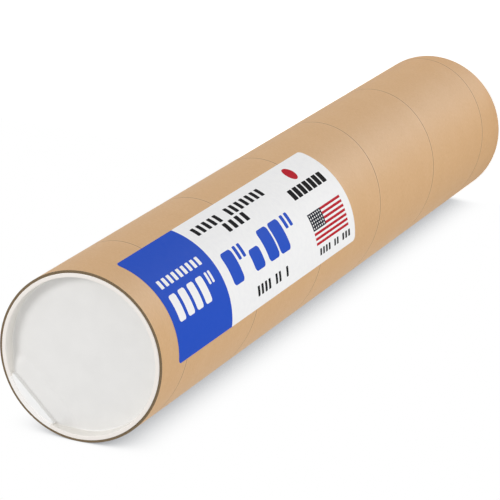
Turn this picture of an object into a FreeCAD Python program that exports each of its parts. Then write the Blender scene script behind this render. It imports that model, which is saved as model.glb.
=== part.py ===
import FreeCAD, Part
import math
import os

# A spiral-wound cardboard mailing tube with two moulded end caps and a paper label.
# Sizes are in millimetres. The tube stands on its bottom cap: its axis is Z, and z = 0 is the ground.

# The wound tube
TUBE_BORE_RADIUS = 63.5
TUBE_WALL = 3.175
TUBE_LENGTH = 762.0

# The outer ply is a strip wound edge to edge, so its edges meet in one left-handed helical seam
PLY_WIDTH = 127.0
SEAM_WIDTH = 0.6
SEAM_DEPTH = 0.2
SEAM_BELOW_TOP = 60.5
SEAM_OVERRUN = 3.0

# The paper label
LABEL_LENGTH = 358.0
LABEL_WIDTH = 95.5
LABEL_THICKNESS = 0.15
LABEL_CORNER_RADIUS = 4.0
LABEL_BELOW_TOP = 30.0
LABEL_AZIMUTH = -90.0

# The end caps, each a shallow cup whose rim laps over the tube's cut end
RIM_HEIGHT = 1.0
RIM_LAP = 1.1
RIM_OUTER_ROUNDING = 0.45
RIM_INNER_ROUNDING = 0.7
PLUG_CLEARANCE = 0.1
SKIRT_WALL = 1.8
SKIRT_FOOT_TAPER = 0.6
FLOOR_THICKNESS = 1.3
RECESS_DEPTH = 10.3
RECESS_DRAFT = 0.3
RECESS_FOOT_ROUNDING = 1.4

# Each rounding of the cap is turned as this many narrow cones
ROUNDING_STEPS = 2

# The skirt grips the bore with one bead, steep on the rim's side, and tapers from its crest down to the foot
BEAD_HEIGHT = 0.3
BEAD_RISE = 0.5
BEAD_DEPTH = 2.6

# The thumb ledge fills one side of the recess up to a straight step, and a ramp runs from the step to the floor
LEDGE_REACH = 6.8
LEDGE_BELOW_RIM = 0.9
LEDGE_EDGE_ROUNDING = 0.6
STEP_HEIGHT = 4.4
RAMP_LENGTH = 11.8
RAMP_WIDTH = 58.0
RAMP_CORNER_RADIUS = 4.0
LEDGE_WALL = 1.6
TOP_LEDGE_AZIMUTH = 98.0
BOTTOM_LEDGE_AZIMUTH = 90.0

# How far a cutting shape runs past the surface that it cuts
CUT_MARGIN = 2.0

# Radii, heights and angles that follow from the sizes above
TUBE_RADIUS = TUBE_BORE_RADIUS + TUBE_WALL
TUBE_BOTTOM = RIM_HEIGHT
TUBE_TOP = TUBE_BOTTOM + TUBE_LENGTH
SEAM_ANGLE = math.asin(PLY_WIDTH / (2 * math.pi * TUBE_RADIUS))
SEAM_PITCH = PLY_WIDTH / math.cos(SEAM_ANGLE)
RIM_RADIUS = TUBE_BORE_RADIUS + RIM_LAP
SKIRT_RADIUS = TUBE_BORE_RADIUS - PLUG_CLEARANCE - BEAD_HEIGHT
RECESS_RADIUS = SKIRT_RADIUS - SKIRT_WALL
RECESS_FLOOR = RIM_HEIGHT - RECESS_DEPTH
PLUG_BOTTOM = RECESS_FLOOR - FLOOR_THICKNESS
LEDGE_TOP = RIM_HEIGHT - LEDGE_BELOW_RIM
LEDGE_CHORD = RECESS_RADIUS - LEDGE_REACH
STEP_FOOT = LEDGE_TOP - STEP_HEIGHT
RAMP_FOOT = LEDGE_CHORD - RAMP_LENGTH

UP = FreeCAD.Vector(0, 0, 1)
ALONG_X = FreeCAD.Vector(1, 0, 0)
CENTRE = FreeCAD.Vector(0, 0, 0)


def revolved(points):
    """A solid of revolution about Z from a closed outline of (radius, height) points."""
    outline = Part.makePolygon([FreeCAD.Vector(r, 0, z) for r, z in points + points[:1]])
    return Part.Face(outline).revolve(CENTRE, UP, 360)


def rounded(solid, radius, wanted):
    """The solid with a fillet on each edge that the test wanted picks."""
    return solid.makeFillet(radius, [edge for edge in solid.Edges if wanted(edge)])


def make_seam_groove():
    """The V-shaped helical groove where the edges of the outer ply meet, as a solid to cut away."""
    run = TUBE_LENGTH + 2 * SEAM_OVERRUN
    spine = Part.makeHelix(SEAM_PITCH, run, TUBE_RADIUS)
    half_width = SEAM_WIDTH / 2 / math.cos(SEAM_ANGLE)
    outside = TUBE_RADIUS + SEAM_DEPTH
    notch = Part.makePolygon([
        FreeCAD.Vector(outside, 0, -2 * half_width),
        FreeCAD.Vector(TUBE_RADIUS - SEAM_DEPTH, 0, 0),
        FreeCAD.Vector(outside, 0, 2 * half_width),
        FreeCAD.Vector(outside, 0, -2 * half_width)])
    right_handed = Part.Wire(spine).makePipeShell([notch], True, True)
    left_handed = right_handed.mirror(CENTRE, FreeCAD.Vector(0, 1, 0))
    below_crossing = run - SEAM_OVERRUN - SEAM_BELOW_TOP
    turn_at_crossing = -360 * below_crossing / SEAM_PITCH
    left_handed.rotate(CENTRE, UP, LABEL_AZIMUTH - turn_at_crossing)
    left_handed.translate(UP * (TUBE_BOTTOM - SEAM_OVERRUN))
    return left_handed


def make_tube():
    """The tube's wall, with the seam of its outer ply cut into its outside."""
    base = UP * TUBE_BOTTOM
    wall = Part.makeCylinder(TUBE_RADIUS, TUBE_LENGTH, base).cut(
        Part.makeCylinder(TUBE_BORE_RADIUS, TUBE_LENGTH, base))
    return wall.cut(make_seam_groove())


def make_corner_waste():
    """What rounding takes off a label's corner: a block less a cylinder, on the X axis, towards +Y and +Z."""
    reach = LABEL_CORNER_RADIUS + CUT_MARGIN
    start = FreeCAD.Vector(TUBE_BORE_RADIUS, 0, 0)
    block = Part.makeBox(TUBE_RADIUS, reach, reach, start)
    return block.cut(Part.makeCylinder(LABEL_CORNER_RADIUS, TUBE_RADIUS, start, ALONG_X))


def make_label():
    """The label: a thin rounded rectangle rolled onto the tube's outside."""
    arc = math.degrees(LABEL_WIDTH / TUBE_RADIUS)
    middle = TUBE_TOP - LABEL_BELOW_TOP - LABEL_LENGTH / 2
    low = UP * (middle - LABEL_LENGTH / 2)
    sheet = Part.makeCylinder(TUBE_RADIUS + LABEL_THICKNESS, LABEL_LENGTH, low, UP, arc).cut(
        Part.makeCylinder(TUBE_RADIUS, LABEL_LENGTH, low, UP, arc))
    sheet.rotate(CENTRE, UP, -arc / 2)
    corner_arc = math.degrees(LABEL_CORNER_RADIUS / TUBE_RADIUS)
    for quarter, (side, end) in enumerate(((1, 1), (-1, 1), (-1, -1), (1, -1))):
        waste = make_corner_waste()
        waste.rotate(CENTRE, ALONG_X, 90 * quarter)
        waste.translate(UP * (middle + end * (LABEL_LENGTH / 2 - LABEL_CORNER_RADIUS)))
        waste.rotate(CENTRE, UP, side * (arc / 2 - corner_arc))
        sheet = sheet.cut(waste)
    sheet.rotate(CENTRE, UP, LABEL_AZIMUTH)
    return sheet


def rounding(radius, height, size, start):
    """Points of a quarter turn about (radius, height), from the angle start in degrees, anticlockwise."""
    angles = [math.radians(start + 90 * step / ROUNDING_STEPS) for step in range(ROUNDING_STEPS + 1)]
    return [(radius + size * math.cos(angle), height + size * math.sin(angle)) for angle in angles]


def make_plug_body():
    """The cap's outside as a full solid: the skirt with its bead, and the rim's disc above it."""
    skirt = [(SKIRT_RADIUS - SKIRT_FOOT_TAPER, PLUG_BOTTOM), (SKIRT_RADIUS + BEAD_HEIGHT, -BEAD_DEPTH),
             (SKIRT_RADIUS, BEAD_RISE - BEAD_DEPTH), (SKIRT_RADIUS, 0)]
    rim = rounding(RIM_RADIUS - RIM_OUTER_ROUNDING, RIM_HEIGHT - RIM_OUTER_ROUNDING, RIM_OUTER_ROUNDING, 0)
    return revolved([(0, PLUG_BOTTOM)] + skirt + [(RIM_RADIUS, 0)] + rim + [(0, RIM_HEIGHT)])


def make_recess():
    """The space inside the cap: it flares at the rim, and is a little narrower at the floor than at the rim."""
    foot = rounding(RECESS_RADIUS - RECESS_DRAFT - RECESS_FOOT_ROUNDING, RECESS_FLOOR + RECESS_FOOT_ROUNDING,
                    RECESS_FOOT_ROUNDING, -90)
    flare = rounding(RECESS_RADIUS + RIM_INNER_ROUNDING, RIM_HEIGHT - RIM_INNER_ROUNDING,
                     RIM_INNER_ROUNDING, 90)[::-1]
    mouth = RIM_HEIGHT + CUT_MARGIN
    return revolved([(0, RECESS_FLOOR)] + foot + flare + [(flare[-1][0], mouth), (0, mouth)])


def prism(outline, width):
    """An outline of (distance from the axis, height) points carried across by width, centred on X."""
    points = [FreeCAD.Vector(x, -width / 2, z) for x, z in outline + outline[:1]]
    return Part.Face(Part.makePolygon(points)).extrude(FreeCAD.Vector(0, width, 0))


def make_thumb_rest(wall):
    """The ledge, its step and its ramp, drawn in by wall on their upper sides. Its step faces the axis."""
    base = PLUG_BOTTOM - CUT_MARGIN
    outside = RIM_RADIUS
    chord = LEDGE_CHORD + wall
    ledge = prism([(chord, base), (outside, base), (outside, LEDGE_TOP - wall), (chord, LEDGE_TOP - wall)],
                  2 * outside)
    ledge = rounded(ledge, LEDGE_EDGE_ROUNDING,
                    lambda edge: abs(edge.CenterOfMass.x - chord) < 1e-6
                    and abs(edge.CenterOfMass.z - LEDGE_TOP + wall) < 1e-6)
    ramp = prism([(RAMP_FOOT + wall, base), (outside, base), (outside, STEP_FOOT - wall),
                  (chord, STEP_FOOT - wall), (RAMP_FOOT + wall, RECESS_FLOOR - wall)], RAMP_WIDTH - 2 * wall)
    ramp = rounded(ramp, RAMP_CORNER_RADIUS,
                   lambda edge: abs(edge.CenterOfMass.x - RAMP_FOOT - wall) < 1e-6
                   and abs(edge.tangentAt(edge.FirstParameter).z) > 0.99)
    return ledge.fuse(ramp)


def make_cap(ledge_azimuth):
    """One cap as it seats on a tube that ends at z = 0, with its thumb ledge at that azimuth."""
    cap = make_plug_body().cut(make_recess().cut(make_thumb_rest(0)))
    below_floor = Part.makeCylinder(RECESS_RADIUS - RECESS_DRAFT, RIM_HEIGHT - PLUG_BOTTOM + CUT_MARGIN,
                                    UP * (PLUG_BOTTOM - CUT_MARGIN))
    cap = cap.cut(make_thumb_rest(LEDGE_WALL).common(below_floor))
    cap.rotate(CENTRE, UP, ledge_azimuth)
    return cap


def make_top_cap():
    """The cap in the tube's top end."""
    cap = make_cap(TOP_LEDGE_AZIMUTH)
    cap.translate(UP * TUBE_TOP)
    return cap


def make_bottom_cap():
    """The same cap turned over, in the bottom end, so that the tube stands on its rim."""
    cap = make_cap(-BOTTOM_LEDGE_AZIMUTH)
    cap.rotate(CENTRE, ALONG_X, 180)
    cap.translate(UP * TUBE_BOTTOM)
    return cap


PARTS = {
    "tube": make_tube,
    "label": make_label,
    "top_cap": make_top_cap,
    "bottom_cap": make_bottom_cap,
}

os.makedirs("parts", exist_ok=True)
for name, make in PARTS.items():
    shape = make()
    shape.exportStep(f"parts/{name}.step")
    print(f"{name}: {len(shape.Solids)} solid, {shape.Volume / 1000:.2f} cm3, valid {shape.isValid()}")
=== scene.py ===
"""The looks of a kraft mailing tube with white end caps and a paper label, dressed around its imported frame.

Lengths are metres, in the frame's own coordinates. The tube stands on its bottom cap, its axis is Z, and its
label faces -Y. Every new piece is a surface worked out on a grid of two parameters.
"""
import logging
import math
from dataclasses import dataclass
from enum import Enum

import bpy
import numpy as np
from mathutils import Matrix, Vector


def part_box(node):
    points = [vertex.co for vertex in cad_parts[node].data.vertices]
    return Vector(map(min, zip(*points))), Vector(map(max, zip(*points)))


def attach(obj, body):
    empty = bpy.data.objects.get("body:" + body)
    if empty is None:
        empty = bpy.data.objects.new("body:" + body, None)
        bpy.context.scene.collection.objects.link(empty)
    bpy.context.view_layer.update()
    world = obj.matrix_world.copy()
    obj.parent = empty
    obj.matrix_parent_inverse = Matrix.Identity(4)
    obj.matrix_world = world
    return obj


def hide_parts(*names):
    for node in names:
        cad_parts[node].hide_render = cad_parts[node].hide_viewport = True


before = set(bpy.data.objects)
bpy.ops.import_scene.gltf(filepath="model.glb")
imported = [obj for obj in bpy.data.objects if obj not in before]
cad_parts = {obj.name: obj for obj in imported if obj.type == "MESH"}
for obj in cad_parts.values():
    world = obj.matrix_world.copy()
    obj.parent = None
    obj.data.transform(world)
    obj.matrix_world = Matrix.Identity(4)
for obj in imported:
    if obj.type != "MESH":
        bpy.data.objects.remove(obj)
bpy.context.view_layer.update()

LOG = logging.getLogger("mailing_tube")
MM = 0.001
FULL_TURN = 2 * math.pi
WELD = 1e-7
WHITE = "#FFFFFF"

Tree = bpy.types.NodeTree
Socket = bpy.types.NodeSocket
Size = tuple[float, float, float]


def linear(hex_colour: str) -> tuple[float, float, float, float]:
    """The linear colour of an sRGB hex value.

    Args:
        hex_colour: The colour as #RRGGBB.

    Returns:
        Red, green, blue and an alpha of 1, each from 0 to 1.
    """
    parts = np.array([int(hex_colour[i:i + 2], 16) for i in (1, 3, 5)]) / 255
    straight = np.where(parts <= 0.04045, parts / 12.92, ((parts + 0.055) / 1.055) ** 2.4)
    return (*straight.tolist(), 1.0)


def add_object(name: str, data: bpy.types.ID) -> bpy.types.Object:
    """A new object in the scene that holds the data, at the origin."""
    thing = bpy.data.objects.new(name, data)
    bpy.context.scene.collection.objects.link(thing)
    return thing


def add_node(tree: Tree, kind: str, inputs: dict | tuple = (), **settings) -> bpy.types.NodeOutputs:
    """Adds one node to a material or world.

    Args:
        tree: The node tree that it goes into.
        kind: The node's type name, without the ShaderNode that it starts with.
        inputs: What its inputs hold, in their order or by name: a value, or the output socket that feeds it.
        **settings: The node's own properties, such as its operation.

    Returns:
        The new node's outputs, to be taken by number or name.
    """
    node = tree.nodes.new("ShaderNode" + kind)
    for name, value in settings.items():
        setattr(node, name, value)
    for key, value in inputs.items() if isinstance(inputs, dict) else enumerate(inputs):
        if isinstance(value, Socket):
            tree.links.new(value, node.inputs[key])
        else:
            node.inputs[key].default_value = value
    return node.outputs


def lumps(tree: Tree, place: Socket, size: Size, detail: float = 3.0) -> Socket:
    """Smooth random lumps, from 0 to 1, that have that size along each axis of the place."""
    scale = tuple(1 / part for part in size)
    stretched = add_node(tree, "Mapping", {"Vector": place, "Scale": scale})[0]
    return add_node(tree, "TexNoise", {"Vector": stretched, "Scale": 1.0, "Detail": detail})[0]


def axis_distance(tree: Tree, place: Socket) -> Socket:
    """The distance of a place from the tube's axis."""
    flat = add_node(tree, "VectorMath", (place, (1.0, 1.0, 0.0)), operation="MULTIPLY")[0]
    return add_node(tree, "VectorMath", (flat,), operation="LENGTH")["Value"]


@dataclass(frozen=True)
class Tint:
    """A colour laid over others: none of it where a value is at start, and its share where it is at stop."""

    value: Socket
    start: float
    stop: float
    colour: str
    share: float = 1.0


def tinted(tree: Tree, base: str, tints: list[Tint]) -> Socket:
    """Lays tints over a base colour.

    Args:
        tree: The material's node tree.
        base: The base colour as #RRGGBB.
        tints: The tints, from the lowest up.

    Returns:
        The colour that shows.
    """
    colour = linear(base)
    for tint in tints:
        share = add_node(tree, "MapRange", (tint.value, tint.start, tint.stop, 0.0, tint.share))[0]
        # A Mix node of colours takes them at its inputs 6 and 7 and gives their mix at its output 2.
        inputs = {"Factor": share, 6: colour, 7: linear(tint.colour)}
        colour = add_node(tree, "Mix", inputs, data_type="RGBA")[2]
    return colour


@dataclass(frozen=True)
class Finish:
    """A material of one real stuff, made one real way."""

    def dress(self, tree: Tree) -> Socket:
        """Adds the finish's nodes to the tree and gives its shader."""
        raise NotImplementedError

    def build(self) -> bpy.types.Material:
        """The finish as a Blender material, named for its class."""
        name = "".join("_" + part.lower() if part.isupper() else part for part in type(self).__name__)
        material = bpy.data.materials.new(name.strip("_"))
        material.use_nodes = True
        tree = material.node_tree
        tree.nodes.clear()
        add_node(tree, "OutputMaterial", {"Surface": self.dress(tree)})
        return material

    @staticmethod
    def surface(tree: Tree, colour: Socket, roughness: Socket | float, grain: Socket, depth: float,
                strength: float, ior: float = 1.5, shine: float = 0.5) -> Socket:
        """An opaque surface with a fine relief.

        Args:
            tree: The material's node tree.
            colour: Its colour.
            roughness: Its roughness.
            grain: The relief's pattern, from 0 to 1.
            depth: How deep the relief is.
            strength: How much of the relief shows.
            ior: The stuff's index of refraction.
            shine: The level of its specular reflection, where 0.5 is that of the index alone.

        Returns:
            The shader.
        """
        relief = add_node(tree, "Bump", {"Height": grain, "Strength": strength, "Distance": depth})
        return add_node(tree, "BsdfPrincipled", {
            "Base Color": colour, "Roughness": roughness, "IOR": ior, "Specular IOR Level": shine,
            "Normal": relief[0]})[0]


@dataclass(frozen=True)
class WoundKraftLiner(Finish):
    """Machine-finished kraft paper, wound and glued: tan, with darker and paler fibres along the ply.

    The finish gives the paper a soft shine. The pulp is a little cloudy, with a few bark flecks. Where two
    turns of the ply meet, the joint is a thin darker line with a paler burnished edge; the dark line is
    partly glue and partly painted shade of the groove there. The pattern's sizes are millimetres along the
    ply and across it. A reach goes from where a colour starts to where it is full.
    """

    ply_width: float
    paper: str = "#CCA06B"
    dark_fibre: str = "#B68956"
    pale_fibre: str = "#D9B486"
    bark: str = "#8E6841"
    # Dark line at the ply's joint: partly glue, partly painted shade of the groove.
    joint: str = "#966A3A"
    burnish: str = "#E2C39B"
    fibre_size: Size = (3.2, 0.7, 1.0)
    streak_size: Size = (60.0, 2.4, 1.0)
    cloud_size: Size = (34.0, 20.0, 1.0)
    fleck_size: Size = (2.2, 0.9, 1.0)
    burnish_reach: tuple[float, float] = (2.2, 0.9)
    joint_reach: tuple[float, float] = (0.9, 0.45)
    roughest: float = 0.54
    smoothest: float = 0.42
    shine: float = 0.75
    relief: float = 0.02 * MM

    def dress(self, tree: Tree) -> Socket:
        """Nodes that read the ply's pattern: millimetres along it and across it.

        Fibres are drawn about three times as coarse as real ones, so that they show at the render's scale.
        """
        ply = add_node(tree, "UVMap", uv_map="pattern")[0]
        fibres = lumps(tree, ply, self.fibre_size, 4.0)
        streaks = lumps(tree, ply, self.streak_size)
        clouds = lumps(tree, ply, self.cloud_size)
        flecks = lumps(tree, ply, self.fleck_size, 1.0)
        across = add_node(tree, "SeparateXYZ", (ply,))["Y"]
        half_ply = self.ply_width / MM / 2
        from_joint = add_node(tree, "Math", (across, half_ply), operation="PINGPONG")[0]
        colour = tinted(tree, self.paper, [
            Tint(fibres, 0.5, 0.28, self.dark_fibre, 0.3),
            Tint(fibres, 0.52, 0.74, self.pale_fibre, 0.3),
            Tint(streaks, 0.5, 0.3, self.dark_fibre, 0.09),
            Tint(clouds, 0.45, 0.7, self.pale_fibre, 0.12),
            Tint(flecks, 0.76, 0.8, self.bark, 0.45),
            Tint(from_joint, *self.burnish_reach, self.burnish, 0.35),
            # The joint's dark line: partly glue, partly painted shade of the groove.
            Tint(from_joint, *self.joint_reach, self.joint, 0.8)])
        roughness = add_node(tree, "MapRange", (fibres, 0.2, 0.8, self.roughest, self.smoothest))[0]
        return self.surface(tree, colour, roughness, fibres, self.relief, 0.5, ior=1.47, shine=self.shine)


@dataclass(frozen=True)
class WoundKraftLining(WoundKraftLiner):
    """The paper inside the tube: the same stock, rougher and duller, because nothing has burnished it."""

    paper: str = "#C09A6E"
    roughest: float = 0.79
    smoothest: float = 0.67
    shine: float = 0.4


@dataclass(frozen=True)
class SawnBoardEdge(Finish):
    """The cut end of the wound board: brown, fuzzy and matt, with darker rings of glue between its plies."""

    bore_radius: float
    ply_thickness: float
    # Dark brown of the cut board, darkened further as painted shade of the cap's rim lapping the end.
    board: str = "#6E5E48"
    pale_board: str = "#948064"
    glue: str = "#4F3F28"
    fuzz: float = 0.7 * MM
    wander: float = 7.0 * MM
    relief: float = 0.15 * MM
    roughness: float = 0.9
    shine: float = 0.25

    def dress(self, tree: Tree) -> Socket:
        """Nodes that read the distance from the tube's axis. The rings wander by a third of a ply at most."""
        ply = self.ply_thickness
        place = add_node(tree, "TexCoord")["Object"]
        fuzz = lumps(tree, place, (self.fuzz,) * 3, 4.0)
        patches = lumps(tree, place, (self.wander,) * 3)
        radius = axis_distance(tree, place)
        depth = add_node(tree, "Math", (radius, self.bore_radius), operation="SUBTRACT")[0]
        depth = add_node(tree, "Math", (patches, 0.3 * ply, depth), operation="MULTIPLY_ADD")[0]
        from_glue = add_node(tree, "Math", (depth, ply / 2), operation="PINGPONG")[0]
        colour = tinted(tree, self.board, [Tint(fuzz, 0.35, 0.7, self.pale_board),
                                           Tint(from_glue, 0.16 * ply, 0.04 * ply, self.glue, 0.8)])
        return self.surface(tree, colour, self.roughness, fuzz, self.relief, 0.8, shine=self.shine)


@dataclass(frozen=True)
class MouldedPolyethylene(Finish):
    """White low-density polyethylene, injection moulded: satin and waxy, with a faint orange peel.

    Its wall and rim are thin and lie on brown board, which warms the white there. Beyond that warmth, the
    wall's darker tint is painted shade of the recess with painted warm light bounced off the board, and
    the rim's lighter tint is a painted warm highlight.
    """

    wall_start: float = 59.9 * MM
    rim_start: float = 61.0 * MM
    plastic: str = "#ECEBE9"
    shade: str = "#E9E8E6"
    # Recess wall tint: darker as painted shade, warm partly from the board beneath, partly painted bounce
    # light.
    wall: str = "#EAE7E1"
    # Rim tint: lighter as a painted warm highlight, warm partly from the board beneath.
    rim: str = "#F3EDE7"
    smoothest: float = 0.34
    roughest: float = 0.39
    clouds: float = 18.0 * MM
    grain: float = 2.2 * MM
    relief: float = 0.015 * MM

    def dress(self, tree: Tree) -> Socket:
        """Nodes that read Object coordinates."""
        place = add_node(tree, "TexCoord")["Object"]
        clouds = lumps(tree, place, (self.clouds,) * 3)
        grain = lumps(tree, place, (self.grain,) * 3, 2.0)
        radius = axis_distance(tree, place)
        colour = tinted(tree, self.plastic, [
            Tint(clouds, 0.35, 0.65, self.shade),
            # Painted shade and warm bounce light on the recess wall.
            Tint(radius, self.wall_start, self.wall_start + MM, self.wall),
            # Painted warm highlight on the rim.
            Tint(radius, self.rim_start, self.rim_start + MM, self.rim)])
        roughness = add_node(tree, "MapRange", (clouds, 0.3, 0.7, self.smoothest, self.roughest))[0]
        return self.surface(tree, colour, roughness, grain, self.relief, 0.5, ior=1.51)


@dataclass(frozen=True)
class SparkTexturedPolyethylene(MouldedPolyethylene):
    """The same plastic where the mould is spark-eroded for grip: a matt stipple on the ledge and its rim.

    The stipple is drawn about three times as coarse as a real one, so that it shows at the render's scale.
    Its colours are the plastic's, painted lighter as painted light that the raised ledge catches.
    """

    # These colours are painted lighter than the plastic's own: painted light caught by the raised ledge.
    plastic: str = "#F8F8F7"
    shade: str = "#F3F3F2"
    wall: str = "#F8F6F4"
    rim: str = "#F8F5F2"
    smoothest: float = 0.53
    roughest: float = 0.58
    grain: float = 1.2 * MM
    relief: float = 0.14 * MM


class Ink(Enum):
    """The label's printing inks, with the sRGB colour of each as printed."""

    BLUE = "#214EBD"
    RED = "#B40A21"
    BLACK = "#0C0C10"
    NAVY = "#20242F"
    WHITE = "#EEEEEE"


@dataclass(frozen=True)
class Blocks:
    """A row or field of equal printed blocks with round corners, in millimetres.

    Places run from the tube's near end down its length, and from the label's centre line anticlockwise round
    it. Words and figures are not drawn: a row of blocks holds their place.
    """

    ink: Ink
    low: tuple[float, float]
    high: tuple[float, float]
    counts: tuple[int, int] = (1, 1)
    fill: tuple[float, float] = (1.0, 1.0)
    corner: float = 0.8
    sharpest: float = 0.1

    def mask(self, tree: Tree, place: Socket) -> Socket:
        """A mask of 1 inside the blocks.

        Each point is first carried to the nearest block by whole steps, and is inside if its distance past
        the block's core rectangle is under the corner radius.

        Args:
            tree: The label's node tree.
            place: The point's place on the label.

        Returns:
            The mask.
        """
        low, high, counts = (np.array(part, float) for part in (self.low, self.high, self.counts))
        pitch = (high - low) / counts
        half = pitch * self.fill / 2
        corner = min(max(self.corner, self.sharpest), *half)
        none = np.zeros(2)
        steps = (("MULTIPLY_ADD", 1 / pitch, -low / pitch), ("FLOOR",), ("MAXIMUM", none),
                 ("MINIMUM", counts - 1), ("MULTIPLY_ADD", -pitch, -low - pitch / 2), ("ADD", place),
                 ("ABSOLUTE",), ("SUBTRACT", half - corner), ("MAXIMUM", none))
        carried = place
        for operation, *values in steps:
            others = (value if isinstance(value, Socket) else (*value, 0.0) for value in values)
            carried = add_node(tree, "VectorMath", (carried, *others), operation=operation)[0]
        past = add_node(tree, "VectorMath", (carried,), operation="LENGTH")["Value"]
        return add_node(tree, "Math", (past, corner), operation="LESS_THAN")[0]


@dataclass(frozen=True)
class PrintedLabelStock(Finish):
    """Matt-coated white label paper, printed in plain fields of ink. It hardly shines, so inks stay deep."""

    blocks: tuple[Blocks, ...]
    paper: str = "#EEEEEE"
    fibre: str = "#EBEBEC"
    mottle_size: Size = (5.0, 5.0, 1.0)
    grain_size: Size = (0.8, 0.8, 1.0)
    smoothest: float = 0.56
    roughest: float = 0.62
    shine: float = 0.04
    relief: float = 0.01 * MM

    def dress(self, tree: Tree) -> Socket:
        """Nodes that read the label's pattern: millimetres down its length and across it."""
        place = add_node(tree, "UVMap", uv_map="pattern")[0]
        mottle = lumps(tree, place, self.mottle_size, 4.0)
        grain = lumps(tree, place, self.grain_size)
        tints = [Tint(mottle, 0.4, 0.7, self.fibre)]
        tints += [Tint(blocks.mask(tree, place), 0.0, 1.0, blocks.ink.value) for blocks in self.blocks]
        roughness = add_node(tree, "MapRange", (mottle, 0.3, 0.7, self.smoothest, self.roughest))[0]
        colour = tinted(tree, self.paper, tints)
        return self.surface(tree, colour, roughness, grain, self.relief, 0.4, shine=self.shine)


@dataclass
class Patch:
    """A grid of points that wears one finish.

    Args:
        points: Places of the grid's points, shaped rows by columns by 3.
        finish: The number of the material that the patch wears on its piece.
        pattern: Flat coordinates of the points in millimetres, rows by columns by 2, for the finish.
        flipped: Whether its faces have to be turned over to look outwards.
    """

    points: np.ndarray
    finish: int = 0
    pattern: np.ndarray | None = None
    flipped: bool = False

    def triangles(self) -> np.ndarray:
        """Two triangles for each cell, from the numbers of its four corners."""
        rows, columns = self.points.shape[:2]
        corner = np.arange(rows * columns).reshape(rows, columns)
        cells = (corner[:-1, :-1], corner[1:, :-1], corner[1:, 1:], corner[:-1, 1:])
        a, b, c, d = (part.ravel() for part in cells)
        halves = np.concatenate([np.stack([a, b, c], 1), np.stack([a, c, d], 1)])
        return halves[:, ::-1] if self.flipped else halves


def build_piece(name: str, patches: list[Patch], finishes: list[Finish],
                sharp_angle: float = 40.0) -> bpy.types.Object:
    """Joins patches into one closed mesh piece at the origin.

    Points within a tenth of a micron of each other are one, and triangles that this closes up are dropped.

    Args:
        name: The piece's name.
        patches: The patches that its surface is made of.
        finishes: The piece's finishes, in the order of the patches' finish numbers.
        sharp_angle: The angle in degrees past which an edge is shaded as a crease.

    Returns:
        The new object.
    """
    counts = [patch.points.shape[0] * patch.points.shape[1] for patch in patches]
    starts = np.concatenate([[0], np.cumsum(counts)[:-1]])
    points = np.concatenate([patch.points.reshape(-1, 3) for patch in patches])
    pattern = np.concatenate([np.zeros((count, 2)) if patch.pattern is None else patch.pattern.reshape(-1, 2)
                              for patch, count in zip(patches, counts)])
    parts = [patch.triangles() + start for patch, start in zip(patches, starts)]
    finish = np.concatenate([np.full(len(part), patch.finish) for patch, part in zip(patches, parts)])
    corners = np.concatenate(parts)
    _, first, merged = np.unique(np.round(points / WELD).astype(np.int64), axis=0,
                                 return_index=True, return_inverse=True)
    faces = merged.reshape(-1)[corners]
    whole = (faces != np.roll(faces, 1, axis=1)).all(axis=1)
    mesh = bpy.data.meshes.new(name)
    mesh.from_pydata(points[first], [], faces[whole])
    mesh.polygons.foreach_set("material_index", finish[whole].astype(np.int32))
    mesh.polygons.foreach_set("use_smooth", np.ones(int(whole.sum()), bool))
    flat = pattern[corners[whole]].astype(np.float32).ravel()
    mesh.uv_layers.new(name="pattern").uv.foreach_set("vector", flat)
    mesh.set_sharp_from_angle(angle=math.radians(sharp_angle))
    for part in finishes:
        mesh.materials.append(part.build())
    return add_object(name, mesh)


def points_of(*parts: np.ndarray | float) -> np.ndarray:
    """Points with these coordinates, in order. Each is an array, or one number for all the points."""
    return np.stack(np.broadcast_arrays(*parts), axis=-1)


def around(profile: np.ndarray, angles: np.ndarray) -> np.ndarray:
    """Turns a profile about Z.

    Args:
        profile: Points of (radius, height), rows by columns by 2, with one column where all are the same.
        angles: The angles in radians, one for each column or each point.

    Returns:
        A grid of points: at each angle, radius times its cosine and its sine, and the height.
    """
    radius, height = profile[..., 0], profile[..., 1]
    return points_of(radius * np.cos(angles), radius * np.sin(angles), height)


def arc(centre: tuple[float, float], size: float, start: float, stop: float, steps: int = 8) -> np.ndarray:
    """Points of a circular arc: the centre plus size times the cosine and sine of an even run of angles.

    Args:
        centre: The arc's centre.
        size: The arc's radius.
        start: The first angle in degrees, anticlockwise from the first axis.
        stop: The last angle in degrees.
        steps: How many stretches the arc has.

    Returns:
        The points, steps plus 1 by 2.
    """
    angles = np.radians(np.linspace(start, stop, steps + 1))
    return np.array(centre) + size * points_of(np.cos(angles), np.sin(angles))


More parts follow.
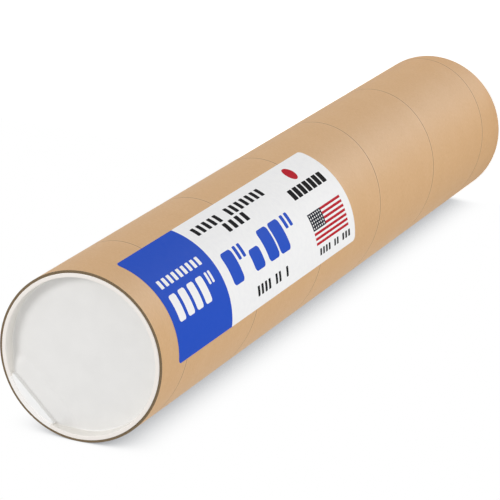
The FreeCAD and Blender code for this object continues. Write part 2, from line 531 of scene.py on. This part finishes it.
@dataclass
class WoundPly:
    """One ply of the board: a strip wound edge to edge in a left-handed helix. Its edges form one joint.

    Shares are of the groove's width for the bell, and of the strip's for the droop. The near rows are in
    millimetres from the joint.
    """

    radius: float
    bottom: float
    top: float
    width: float
    joint_angle: float
    joint_height: float
    groove_depth: float = 0.0
    groove_width: float = 0.6 * MM
    crown: float = 0.0
    bell_share: float = 0.4
    droop_share: float = 0.07
    near_rows: tuple[float, ...] = (0.0, 0.2, 0.4, 0.7, 1.2, 2.2, 4.0, 7.0, 12.0)
    middle_start: float = 20 * MM
    middle_rows: int = 9
    columns: int = 288

    def __post_init__(self) -> None:
        """Works out the helix: its slope is the angle whose sine is the strip's width over the girth."""
        self.slope = math.asin(self.width / (FULL_TURN * self.radius))
        self.pitch = self.width / math.cos(self.slope)
        self.angles = np.linspace(0.0, FULL_TURN, self.columns + 1)
        self.start = self.joint_height + self.pitch * self.joint_angle / FULL_TURN

    def radius_at(self, angle: np.ndarray, height: np.ndarray | float) -> np.ndarray:
        """The surface's radius: full at mid strip, less a crown and a bell-shaped groove at its edges."""
        across = (height - self.start) * math.cos(self.slope) + self.radius * angle * math.sin(self.slope)
        from_joint = np.abs((across / self.width + 0.5) % 1.0 - 0.5) * self.width
        bell = np.exp(-(from_joint / (self.bell_share * self.groove_width)) ** 2)
        droop = np.exp(-(from_joint / (self.droop_share * self.width)) ** 2)
        return self.radius - self.groove_depth * bell - self.crown * droop

    def edge(self, height: float) -> np.ndarray:
        """The ply's outline at a height, as (radius, height) for each of its angles."""
        return points_of(self.radius_at(self.angles % FULL_TURN, height), height)

    def rows_across(self) -> np.ndarray:
        """Distances across the strip: close together at the groove on each edge, and wide apart between."""
        near = np.array(self.near_rows) * MM
        middle = np.linspace(self.middle_start, self.width - self.middle_start, self.middle_rows)
        return np.concatenate([near, middle, self.width - near[::-1]])

    def patches(self, finish: int, flipped: bool = False) -> list[Patch]:
        """One patch for each turn of the strip, cut off at the tube's ends.

        A point at the angle t and the distance v across turn k lies at the height of the joint, plus k
        pitches, plus v over the cosine of the slope, less the pitch times t over a full turn, held between
        the ends. Its pattern is its distance along the strip and across it, which run on from turn to turn.

        Args:
            finish: The number of the finish that the ply wears.
            flipped: Whether the ply faces the axis.

        Returns:
            The patches.
        """
        first = math.floor((self.bottom - self.start) / self.pitch)
        last = math.ceil((self.top - self.start) / self.pitch) + 1
        fall = self.pitch * self.angles / FULL_TURN
        across = self.rows_across()[:, None]
        angle = self.angles % FULL_TURN
        girth = self.radius * self.angles
        made = []
        for turn in range(first, last):
            height = self.start + turn * self.pitch + across / math.cos(self.slope) - fall
            held = np.clip(height, self.bottom, self.top)
            points = around(points_of(self.radius_at(angle, held), held), angle)
            along = girth * math.cos(self.slope) - (held - self.start) * math.sin(self.slope)
            along = along - turn * FULL_TURN * self.radius * math.cos(self.slope)
            width = across + (held - height) * math.cos(self.slope)
            made.append(Patch(points, finish, points_of(along, width) / MM, not flipped))
        return made


@dataclass
class BoardTube:
    """The spiral-wound board tube: its outer liner, its lining and its two sawn ends."""

    ply_width: float = 127 * MM
    wall: float = 3.175 * MM
    plies: int = 8
    joint_below_top: float = 60.5 * MM
    lining_joint_below_top: float = 20 * MM
    groove_depth: float = 0.2 * MM
    crown: float = 0.05 * MM
    label_azimuth: float = -90.0
    rings: int = 6

    def __post_init__(self) -> None:
        """Reads the tube's radius and ends from its solid."""
        low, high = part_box("tube")
        self.radius = (high.x - low.x) / 2
        self.bottom, self.top = low.z, high.z

    def sawn_end(self, outside: np.ndarray, inside: np.ndarray, angles: np.ndarray, upwards: bool) -> Patch:
        """A flat ring, whose circles lie at even shares of the way from the outside edge to the inside."""
        share = np.linspace(0.0, 1.0, self.rings + 1)[:, None, None]
        return Patch(around(outside * (1 - share) + inside * share, angles), 1, None, upwards)

    def build(self) -> bpy.types.Object:
        """Builds the tube in place of its solid.

        Returns:
            The piece.
        """
        label_angle = math.radians(self.label_azimuth) % FULL_TURN
        outer = WoundPly(self.radius, self.bottom, self.top, self.ply_width, label_angle,
                         self.top - self.joint_below_top, self.groove_depth, crown=self.crown)
        inner = WoundPly(self.radius - self.wall, self.bottom, self.top, self.ply_width, label_angle,
                         self.top - self.lining_joint_below_top)
        ends = [self.sawn_end(outer.edge(height), inner.edge(height), outer.angles % FULL_TURN, upwards)
                for height, upwards in ((self.top, True), (self.bottom, False))]
        finishes = [WoundKraftLiner(self.ply_width),
                    SawnBoardEdge(self.radius - self.wall, self.wall / self.plies),
                    WoundKraftLining(self.ply_width)]
        piece = build_piece("wound_tube", outer.patches(0) + inner.patches(2, True) + ends, finishes)
        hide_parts("tube")
        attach(piece, "tube")
        return piece


@dataclass
class PaperLabel:
    """The label: a thin sheet with round corners, rolled onto the tube."""

    tube: BoardTube
    width: float = 95.5 * MM
    corner: float = 4.0 * MM
    columns: int = 72
    rows: int = 60
    corner_rows: int = 13
    pressed: float = 0.03 * MM

    def __post_init__(self) -> None:
        """Reads the label's ends and its outside radius from its solid."""
        low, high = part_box("label")
        self.bottom, self.top = low.z, high.z
        self.radius = -low.y

    def print_layout(self) -> tuple[Blocks, ...]:
        """The printed fields, rows of blocks and stripes, each from its low corner to its high corner.

        Returns:
            The blocks, in the order that they are printed.
        """
        end = (self.tube.top - self.top) / MM
        side = self.width / MM
        letter = (0.58, 1.0)
        return (
            Blocks(Ink.BLUE, (end - 9, -side), (129, side), corner=0.0),
            Blocks(Ink.WHITE, (39, 9.5), (116, 17.0), (9, 1), letter),
            Blocks(Ink.WHITE, (39, -18.5), (103, 3.0), (4, 1), (0.7, 1.0), 2.5),
            Blocks(Ink.WHITE, (105, -7.0), (117, 3.0), (2, 1), (0.6, 1.0), 1.0),
            Blocks(Ink.BLACK, (141, 29.5), (193, 38.5), (5, 1), letter),
            Blocks(Ink.BLACK, (204, 29.5), (277, 38.5), (7, 1), letter),
            Blocks(Ink.BLACK, (180, 18.5), (226, 27.5), (4, 1), letter),
            Blocks(Ink.BLUE, (142, -19.5), (164, 8.0), (1, 1), (0.9, 1.0), 4.0),
            Blocks(Ink.BLUE, (165, -4.0), (182, 8.0), (2, 1), (0.62, 1.0), 1.2),
            Blocks(Ink.BLUE, (184, -19.5), (206, -1.5), (1, 1), (0.9, 1.0), 4.0),
            Blocks(Ink.BLUE, (212, -19.5), (258, 8.0), (2, 1), (0.88, 1.0), 4.0),
            Blocks(Ink.BLUE, (260, -4.0), (278, 8.0), (2, 1), (0.62, 1.0), 1.2),
            Blocks(Ink.BLACK, (179, -38.5), (208, -30.0), (4, 1), letter),
            Blocks(Ink.BLACK, (215, -38.5), (229, -30.0), (2, 1), letter),
            Blocks(Ink.BLACK, (237, -38.5), (244, -30.0), (1, 1), letter),
            Blocks(Ink.RED, (328, 26.0), (343, 41.0), corner=7.5),
            Blocks(Ink.BLACK, (302, 11.0), (374, 21.5), (7, 1), (0.78, 1.0)),
            Blocks(Ink.RED, (305, -31.9), (375, -3.3), (1, 7), (1.0, 0.54), 0.0),
            Blocks(Ink.NAVY, (305, -18.9), (332, -4.2), corner=0.0),
            Blocks(Ink.WHITE, (306, -18.4), (331, -4.7), (6, 5), (0.42, 0.58), 1.0),
            Blocks(Ink.BLACK, (309, -40.5), (334, -34.5), (4, 1), letter),
            Blocks(Ink.BLACK, (340, -40.5), (352, -34.5), (2, 1), letter),
            Blocks(Ink.BLACK, (358, -40.5), (378, -34.5), (3, 1), letter),
        )

    def build(self) -> bpy.types.Object:
        """Builds the label in place of its solid.

        Within a corner radius of either end, the half width is the full one, less the corner radius, plus the
        root of the corner radius squared less the distance past the corner's start squared. Across, points
        lie at even shares of that half width, wrapped round the tube. The sheet's face is at the label's
        radius, and its back is pressed a hair into the tube.

        Returns:
            The piece.
        """
        turn = np.radians(np.linspace(0.0, 90.0, self.corner_rows))
        rounded = self.corner * (1 - np.cos(turn))
        height = np.concatenate([self.bottom + rounded,
                                 np.linspace(self.bottom, self.top, self.rows)[2:-2],
                                 self.top - rounded[::-1]])
        past = np.clip(self.corner - np.minimum(height - self.bottom, self.top - height), 0.0, self.corner)
        half = self.width / 2 - self.corner + np.sqrt(self.corner ** 2 - past ** 2)
        side = half[:, None] * np.linspace(-1.0, 1.0, self.columns + 1)
        angle = math.radians(self.tube.label_azimuth) + side / self.tube.radius
        tall = height[:, None]
        pattern = points_of(self.tube.top - tall, side) / MM
        sheets = [around(points_of(radius, tall), angle)
                  for radius in (self.radius, self.tube.radius - self.pressed)]
        patches = [Patch(sheets[0], 0, pattern, True), Patch(sheets[1], 0, pattern, False)]
        for edge, flipped in ((np.s_[:, 0], True), (np.s_[:, -1], False),
                              (np.s_[0, :], False), (np.s_[-1, :], True)):
            wall = np.stack([sheet[edge] for sheet in sheets])
            patches.append(Patch(wall, 0, np.stack([pattern[edge]] * 2), flipped))
        piece = build_piece("paper_label", patches, [PrintedLabelStock(self.print_layout())])
        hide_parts("label")
        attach(piece, "tube")
        return piece


@dataclass
class ThumbRest:
    """The floor of the cap's recess with its thumb rest: a ramp up to a straight step, and a ledge past it.

    Heights are measured from the tube's end, and distances from the axis towards the ledge. Rows lie along
    the rest's middle line, and columns across it.
    """

    disc: float
    floor: float
    ramp_foot: float
    ramp_half_width: float
    step_foot: float
    chord: float
    ledge: float
    foot_curve: float = 5.0 * MM
    corner: float = 4.0 * MM
    hollow: float = 0.8 * MM
    edge: float = 0.6 * MM
    shoulder: float = 7.0 * MM
    spread: float = 5.0 * MM
    floor_rows: int = 64
    ramp_rows: int = 9
    step_rows: int = 5
    ledge_rows: int = 22
    arc_steps: int = 6
    core_columns: int = 41
    shoulder_columns: int = 13
    wing_columns: int = 17

    def section(self) -> tuple[np.ndarray, np.ndarray]:
        """The stations along the rest's middle line.

        They run flat across the floor, up through a gentle curve onto the ramp, through a hollow curve into
        the upright step, over its rounded edge and flat along the ledge. The curve at the ramp's foot rises
        by the slope times the squared distance past its start, over twice its length.

        Returns:
            The distance and the height of each station.
        """
        slope = (self.step_foot - self.floor) / (self.chord - self.ramp_foot)
        start = self.ramp_foot - self.foot_curve / 2
        begin = math.asin(start / self.disc)
        flat = self.disc * np.sin(np.linspace(-math.pi / 2, begin, self.floor_rows))
        curve = np.linspace(0.0, self.foot_curve, self.ramp_rows)[1:]
        bend = points_of(start + curve, self.floor + slope * curve ** 2 / (2 * self.foot_curve))
        tilt = math.degrees(math.atan(slope))
        reach = self.hollow * math.tan(math.radians(90 - tilt) / 2)
        centre = (self.chord - self.hollow, self.step_foot + reach)
        hollow = arc(centre, self.hollow, tilt - 90, 0, self.arc_steps)
        climb = np.linspace(bend[-1], hollow[0], self.ramp_rows)[1:-1]
        centre = (self.chord + self.edge, self.ledge - self.edge)
        over = arc(centre, self.edge, 180, 90, self.arc_steps)
        rise = np.linspace(hollow[-1], over[0], self.step_rows)[1:-1]
        last = math.asin(over[-1, 0] / self.disc)
        end = self.disc * np.sin(np.linspace(last, math.pi / 2, self.ledge_rows))[1:]
        stations = np.concatenate([points_of(flat, self.floor), bend, climb, hollow, rise, over,
                                   points_of(end, self.ledge)])
        return stations[:, 0], stations[:, 1]

    def grid(self) -> tuple[np.ndarray, np.ndarray]:
        """The whole disc as a grid: stations along the middle line by stations across it.

        Across, points run from one end of the chord at that station to the other, closer together over the
        ramp's shoulders. The ramp's plan has round corners and spreads towards the step. Its height over the
        floor is the middle line's, times a smooth S of how far inside the shoulder's outer edge a point lies.

        Returns:
            The points, and for each station whether it lies on the ledge.
        """
        along, tall = self.section()
        reach = np.sqrt(np.maximum(self.disc ** 2 - along ** 2, 0.0))
        inset = np.clip(self.ramp_foot + self.corner - along, 0.0, self.corner)
        climbed = np.clip((along - self.ramp_foot) / (self.chord - self.ramp_foot), 0.0, 1.0)
        half = (self.ramp_half_width - self.corner + np.sqrt(self.corner ** 2 - inset ** 2)
                + self.spread * climbed)
        core = np.minimum(half - self.shoulder, reach)[:, None]
        brow = np.minimum(half + self.shoulder, reach)[:, None]
        shoulder = core + (brow - core) * np.linspace(0.0, 1.0, self.shoulder_columns)[1:]
        wing = brow + (reach[:, None] - brow) * np.linspace(0.0, 1.0, self.wing_columns)[1:]
        side = np.concatenate([shoulder, wing], axis=1)
        centre = core * np.linspace(-1.0, 1.0, self.core_columns)
        across = np.concatenate([-side[:, ::-1], centre, side], axis=1)
        inside = np.clip((half[:, None] + self.shoulder - np.abs(across)) / (2 * self.shoulder), 0.0, 1.0)
        on_ledge = along > self.chord
        share = np.where(on_ledge[:, None], 1.0, inside ** 2 * (3 - 2 * inside))
        height = self.floor + (tall[:, None] - self.floor) * share
        return points_of(along[:, None], across, height), on_ledge

    @staticmethod
    def rim_loop(grid: np.ndarray) -> np.ndarray:
        """The grid's outer edge as a closed loop, anticlockwise from the middle of the ledge's side."""
        return np.concatenate([grid[:, -1][::-1], grid[1:, 0]])


class TubeEnd(Enum):
    """The tube's two ends, by the name of the cap in each."""

    TOP = "top_cap"
    BOTTOM = "bottom_cap"


@dataclass
class EndCap:
    """One moulded plug: a shallow cup whose rim laps the tube's cut end, with a thumb rest in its recess.

    The back's hollow and edge are the curves of the thumb rest's underside, which keep its wall even.
    """

    tube: BoardTube
    end: TubeEnd
    ledge_azimuth: float
    skirt: float = 63.1 * MM
    bead_height: float = 0.3 * MM
    bead_rise: float = 0.5 * MM
    bead_depth: float = 2.6 * MM
    foot_taper: float = 0.6 * MM
    skirt_wall: float = 1.8 * MM
    draft: float = 0.3 * MM
    floor_depth: float = 9.3 * MM
    floor_wall: float = 1.3 * MM
    outer_rounding: float = 0.45 * MM
    inner_rounding: float = 0.7 * MM
    foot_rounding: float = 1.4 * MM
    lip_rounding: float = 0.15 * MM
    crest_rounding: float = 0.25 * MM
    skirt_rounding: float = 0.4 * MM
    ledge_reach: float = 6.8 * MM
    ledge_depth: float = -0.1 * MM
    step_height: float = 4.4 * MM
    ramp_length: float = 11.8 * MM
    ramp_half_width: float = 29.0 * MM
    ledge_wall: float = 1.6 * MM
    back_hollow: float = 0.6 * MM
    back_edge: float = 0.4 * MM

    def __post_init__(self) -> None:
        """Reads the rim from the cap's solid, and works out its seat, its recess's radius and its back."""
        low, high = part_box(self.end.value)
        self.rim = (high.x - low.x) / 2
        top = self.end is TubeEnd.TOP
        self.seat = self.tube.top if top else self.tube.bottom
        self.rim_height = high.z - self.seat if top else self.seat - low.z
        self.recess = self.skirt - self.skirt_wall
        self.back_floor = -self.floor_depth - self.floor_wall

    def rests(self) -> tuple[ThumbRest, ThumbRest]:
        """The recess's floor as seen from outside, and its underside, which keeps a nearly even wall."""
        chord = self.recess - self.ledge_reach
        step_foot = -self.ledge_depth - self.step_height
        face = ThumbRest(self.recess - self.draft - self.foot_rounding, -self.floor_depth,
                         chord - self.ramp_length, self.ramp_half_width, step_foot, chord, -self.ledge_depth)
        wall = self.ledge_wall
        back = ThumbRest(self.recess - self.draft, self.back_floor, face.ramp_foot + wall,
                         face.ramp_half_width - wall, face.step_foot - wall, chord + wall,
                         face.ledge - wall, hollow=self.back_hollow, edge=self.back_edge)
        return face, back

    def side_profile(self, loop: np.ndarray) -> np.ndarray:
        """The wall, rim and skirt at each point of the floor's edge.

        From the floor's edge the profile runs out to a curve that meets the drafted wall, up the wall, out
        over the rim's inner and outer roundings, under the rim to the skirt, over the bead and down the
        tapering skirt to its foot. The curve is as large as the wall's height there allows.

        Args:
            loop: The floor's edge, as (radius, height) for each angle.

        Returns:
            Points of (radius, height), shaped stations by angles by 2.
        """
        rim_top, flare = self.rim_height, self.rim_height - self.inner_rounding
        height = loop[:, 1]
        size = np.minimum(self.foot_rounding, 0.5 * (flare - height))
        drawn_in = self.draft * (flare - height - size) / (flare + self.floor_depth - self.foot_rounding)
        wall = self.recess - drawn_in
        turn = np.radians(np.linspace(-90.0, 0.0, 9))[:, None]
        curve = points_of(wall - size + size * np.cos(turn), height + size + size * np.sin(turn))
        crest, foot = self.skirt + self.bead_height, self.skirt - self.foot_taper
        inner, outer, lip = self.inner_rounding, self.outer_rounding, self.lip_rounding
        fixed = np.concatenate([
            arc((self.recess + inner, flare), inner, 180, 90),
            arc((self.rim - outer, rim_top - outer), outer, 90, 0),
            arc((self.rim - lip, lip), lip, 0, -90, 4),
            [[self.skirt, 0.0], [self.skirt, self.bead_rise - self.bead_depth]],
            arc((crest - self.crest_rounding, -self.bead_depth), self.crest_rounding, 40, -8, 5),
            arc((foot - self.skirt_rounding, self.back_floor + self.skirt_rounding), self.skirt_rounding,
                0, -90, 6),
        ])
        fixed = np.broadcast_to(fixed[:, None, :], (len(fixed), len(height), 2))
        middle = (curve[-1] + fixed[0]) / 2
        return np.concatenate([loop[None], curve, middle[None], fixed])

    def placed(self, patch: Patch) -> Patch:
        """Turns a patch of the cap to its ledge's azimuth, and seats it on its end of the tube.

        The bottom cap is the same cap, turned over about the X axis.
        """
        turn = math.radians(self.ledge_azimuth if self.end is TubeEnd.TOP else -self.ledge_azimuth)
        x, y, z = np.moveaxis(patch.points, -1, 0)
        x, y = x * math.cos(turn) - y * math.sin(turn), x * math.sin(turn) + y * math.cos(turn)
        if self.end is TubeEnd.BOTTOM:
            y, z = -y, -z
        return Patch(points_of(x, y, z + self.seat), patch.finish, None, patch.flipped)

    def build(self) -> bpy.types.Object:
        """Builds the cap in place of its solid, from its floor outwards and round to its underside.

        Returns:
            The piece.
        """
        face, back = self.rests()
        top, on_ledge = face.grid()
        under, _ = back.grid()
        loop = face.rim_loop(top)
        angles = np.arctan2(loop[:, 1], loop[:, 0])
        foot = points_of(face.disc, loop[:, 2])
        side = around(self.side_profile(foot), angles)
        under_loop = back.rim_loop(under)
        first_ledge = int(np.argmax(on_ledge)) - 1
        low = np.flatnonzero(loop[:, 2] < face.ledge - WELD)
        start, stop = low[0] - 1, low[-1] + 1
        patches = [Patch(top[:first_ledge + 1], 0), Patch(top[first_ledge:], 1), Patch(under, 0, None, True),
                   Patch(side[:, :start + 1], 1), Patch(side[:, start:stop + 1], 0), Patch(side[:, stop:], 1)]
        inside = points_of(under_loop[:, 0], under_loop[:, 1], self.back_floor)
        patches += [Patch(np.stack([side[-1], inside]), 0), Patch(np.stack([inside, under_loop]), 0)]
        piece = build_piece(f"moulded_{self.end.value}", [self.placed(patch) for patch in patches],
                            [MouldedPolyethylene(), SparkTexturedPolyethylene()])
        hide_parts(self.end.value)
        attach(piece, self.end.value)
        return piece


@dataclass
class SoftBox:
    """A square lamp that faces a point, with its brightness as the level of light that it brings there.

    Its azimuth and elevation are in degrees, as seen from the point that it faces.
    """

    name: str
    azimuth: float
    elevation: float
    distance: float
    size: float
    level: float
    target: tuple[float, float, float]

    def build(self) -> None:
        """Makes the lamp. A lamp of power P gives the level P over pi squared times its distance squared."""
        turn, lift = math.radians(self.azimuth), math.radians(self.elevation)
        back = Vector((math.cos(turn) * math.cos(lift), math.sin(turn) * math.cos(lift), math.sin(lift)))
        lamp = bpy.data.lights.new(self.name, "AREA")
        lamp.size = self.size
        lamp.energy = self.level * (math.pi * self.distance) ** 2
        holder = add_object(self.name, lamp)
        holder.location = Vector(self.target) + back * self.distance
        holder.rotation_euler = back.to_track_quat("Z", "Y").to_euler()


@dataclass(frozen=True)
class StagePaint(Finish):
    """Paint on one face of a sheet, whose back is clear, so that the tube also shows from behind or below."""

    def face(self, tree: Tree) -> Socket:
        """Adds the painted face's nodes to the tree and gives its shader."""
        raise NotImplementedError

    def dress(self, tree: Tree) -> Socket:
        """The painted face's shader, and a clear one on the back."""
        behind = add_node(tree, "NewGeometry")["Backfacing"]
        clear = add_node(tree, "BsdfTransparent")[0]
        return add_node(tree, "MixShader", (behind, self.face(tree), clear))[0]


@dataclass(frozen=True)
class FloorPaint(StagePaint):
    """Pale matt paint, lifted to white for the camera, so that only a deep shadow stays grey on it."""

    paint: str = "#E6E6E6"
    lift: float = 0.6

    def face(self, tree: Tree) -> Socket:
        """A matt shader, with a glow that only the camera sees."""
        seen = add_node(tree, "LightPath")["Is Camera Ray"]
        glow = add_node(tree, "Math", (seen, self.lift), operation="MULTIPLY")[0]
        lit = add_node(tree, "Emission", {"Strength": glow})[0]
        matt = add_node(tree, "BsdfDiffuse", {"Color": linear(self.paint)})[0]
        return add_node(tree, "AddShader", (matt, lit))[0]


@dataclass(frozen=True)
class WallPaint(StagePaint):
    """White to the camera, with a soft bluish shadow where the tube lies close to it.

    The shadow is painted, not cast by the lamps: it is the share of the air within its reach that the tube
    fills, raised to a power. It comes in between two heights over the floor.
    """

    shadow: str = "#6C7077"
    reach: float = 32 * MM
    power: float = 3.6
    samples: int = 16
    fade: tuple[float, float] = (2 * MM, 14 * MM)

    def face(self, tree: Tree) -> Socket:
        """A shader that glows in the wall's white and its painted shadow, whatever the light."""
        place = add_node(tree, "TexCoord")["Object"]
        height = add_node(tree, "SeparateXYZ", (place,))["Z"]
        faded = add_node(tree, "MapRange", (height, *self.fade))[0]
        air = add_node(tree, "AmbientOcclusion", {"Distance": self.reach}, samples=self.samples)
        share = add_node(tree, "Math", (1.0, air["AO"]), operation="SUBTRACT")[0]
        for operation, other in (("POWER", self.power), ("MULTIPLY", faded)):
            share = add_node(tree, "Math", (share, other), operation=operation)[0]
        # Painted shadow: white tinted towards the shadow colour by the share of air that the tube fills.
        colour = tinted(tree, WHITE, [Tint(share, 0.0, 1.0, self.shadow)])
        return add_node(tree, "Emission", {"Color": colour})[0]


@dataclass
class Studio:
    """The stage: a pale floor, a white wall that the tube touches, an even world, lamps and the camera."""

    tube: BoardTube
    camera_place: tuple[float, float, float] = (0.02741, -1.22896, 2.74938)
    camera_turn: tuple[float, float, float] = (-16.4703, 23.1057, -125.5483)
    lens: float = 226.97
    view_depth: float = 50.0
    world_level: float = 0.64
    background: float = 1.0
    floor_size: float = 8.0
    wall_azimuth: float = 141.0
    wall_size: tuple[float, float] = (1.6, 1.7)

    def make_camera(self) -> None:
        """The photo's camera: its place, turn in degrees and lens, as fitted to the tube's outlines."""
        camera = add_object("camera", bpy.data.cameras.new("camera"))
        camera.data.lens = self.lens
        camera.data.clip_end = self.view_depth
        camera.location = self.camera_place
        camera.rotation_euler = [math.radians(part) for part in self.camera_turn]
        bpy.context.scene.camera = camera

    def make_world(self) -> None:
        """An even white world: its level lights the object, and the camera and reflections see it white."""
        world = bpy.data.worlds.new("studio")
        world.use_nodes = True
        tree = world.node_tree
        tree.nodes.clear()
        rays = add_node(tree, "LightPath")
        seen = rays["Is Camera Ray"]
        for kind in ("Is Glossy Ray", "Is Transmission Ray"):
            seen = add_node(tree, "Math", (seen, rays[kind]), operation="MAXIMUM")[0]
        level = add_node(tree, "MapRange", (seen, 0.0, 1.0, self.world_level, self.background))[0]
        shade = add_node(tree, "Background", {"Color": linear(WHITE), "Strength": level})
        add_node(tree, "OutputWorld", {"Surface": shade[0]})
        bpy.context.scene.world = world

    @staticmethod
    def make_sheet(name: str, centre: Vector, across: Vector, up: Vector, paint: Finish) -> bpy.types.Object:
        """A flat grid of stage.

        Args:
            name: The sheet's name.
            centre: Its middle.
            across: Half of its extent one way.
            up: Half of its extent the other way.
            paint: Its finish.

        Returns:
            The sheet.
        """
        share = np.linspace(-1.0, 1.0, 5)
        points = np.array(centre) + share[:, None, None] * np.array(across) + share[:, None] * np.array(up)
        mesh = bpy.data.meshes.new(name)
        mesh.from_pydata(points.reshape(-1, 3), [], Patch(points).triangles())
        mesh.materials.append(paint.build())
        sheet = add_object(name, mesh)
        return sheet

    def make_stage(self) -> None:
        """The floor under the tube, and the wall that its side touches, which stands for the photo's table.

        Some of the photo's lamps are past the tube's far end, under this floor, which casts no shadow for
        them. The wall is there for the camera alone.
        """
        half = self.floor_size / 2
        floor = self.make_sheet("stage_floor", Vector((0, 0, 0)), Vector((half, 0, 0)), Vector((0, half, 0)),
                                FloorPaint())
        floor.visible_shadow = False
        turn = math.radians(self.wall_azimuth)
        away = Vector((math.cos(turn), math.sin(turn), 0.0))
        wide, tall = self.wall_size
        up = Vector((0, 0, tall / 2))
        wall = self.make_sheet("stage_wall", away * self.tube.radius + up, up,
                               Vector((-away.y, away.x, 0.0)) * wide / 2, WallPaint())
        wall.visible_shadow = wall.visible_diffuse = wall.visible_glossy = wall.visible_transmission = False

    def lamps(self) -> list[SoftBox]:
        """The lamps: three over the floor, and three under it, which give the sheen along the tube's side."""
        near_end = (0.0, 0.0, self.tube.top)
        middle = (0.0, 0.0, self.tube.top / 2)
        near, half_way, far = ((0.0, -self.tube.radius, height) for height in (self.tube.top, 0.3, 0.08))
        return [SoftBox("key_lamp", 16.0, 52.0, 2.4, 0.8, 0.35, near_end),
                SoftBox("front_lamp", 295.0, 15.0, 2.4, 1.6, 0.1, near_end),
                SoftBox("side_lamp", 212.0, 5.0, 2.4, 1.6, 0.3, middle),
                SoftBox("near_sheen_lamp", 314.0, -58.0, 2.6, 0.9, 0.105, near),
                SoftBox("middle_sheen_lamp", 286.0, -64.0, 3.0, 1.4, 0.26, half_way),
                SoftBox("far_sheen_lamp", 250.0, -66.0, 1.6, 0.56, 0.06, far)]

    def build(self) -> None:
        """Builds the stage, the lamps and the camera, and sets a plain view of them."""
        bpy.context.scene.view_settings.view_transform = "Standard"
        self.make_camera()
        self.make_world()
        self.make_stage()
        lamps = self.lamps()
        for lamp in lamps:
            lamp.build()
        LOG.info("stage, %d lamps and camera are in place", len(lamps))


def main() -> None:
    """Builds the stage and each piece of the tube in order, and reports each one."""
    logging.basicConfig(level=logging.INFO, format="%(name)s: %(message)s")
    tube = BoardTube()
    Studio(tube).build()
    for builder in (tube, PaperLabel(tube), EndCap(tube, TubeEnd.TOP, ledge_azimuth=98.0),
                    EndCap(tube, TubeEnd.BOTTOM, ledge_azimuth=90.0)):
        piece = builder.build()
        LOG.info("%s: %d triangles", piece.name, len(piece.data.polygons))


if __name__ == "__main__":
    main()
